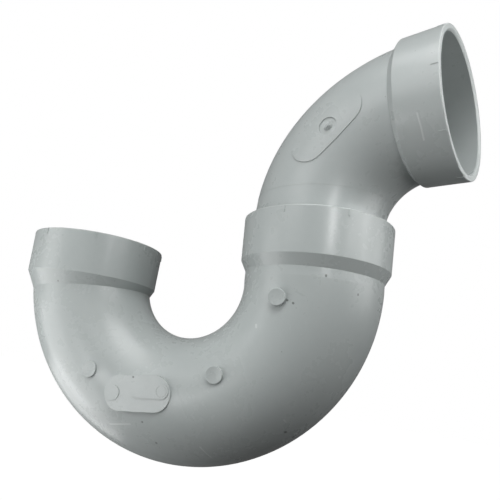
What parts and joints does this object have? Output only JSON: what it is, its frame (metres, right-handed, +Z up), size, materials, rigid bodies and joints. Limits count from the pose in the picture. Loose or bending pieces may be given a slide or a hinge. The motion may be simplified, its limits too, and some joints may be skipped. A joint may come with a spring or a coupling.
{
  "type": "drain trap",
  "caption": "Grey PVC drain trap: a socketed U-bend with a nearly square outlet elbow pushed into its outlet socket.",
  "frame": {"origin": "on the inlet socket's axis, at the stop where the incoming pipe ends", "axes": "+Z up, along the inlet socket's axis and out of its mouth; +X from the inlet leg to the outlet leg; the U-bend lies in the XZ plane"},
  "size_m": [0.404, 0.1611, 0.3651],
  "materials": {
    "bend_pvc": "semi-gloss moulded grey PVC",
    "elbow_pvc": "semi-gloss moulded grey PVC"
  },
  "bodies": {
    "bend": {"trap_bend": "bend_pvc"},
    "elbow": {"outlet_elbow": "elbow_pvc"}
  },
  "joints": [
    {"name": "elbow_swivel", "type": "hinge", "parent": "bend", "child": "elbow", "pos_m": [0.2136, 0, 0.0496], "axis": [0, 0, 1], "continuous": true}
  ]
}
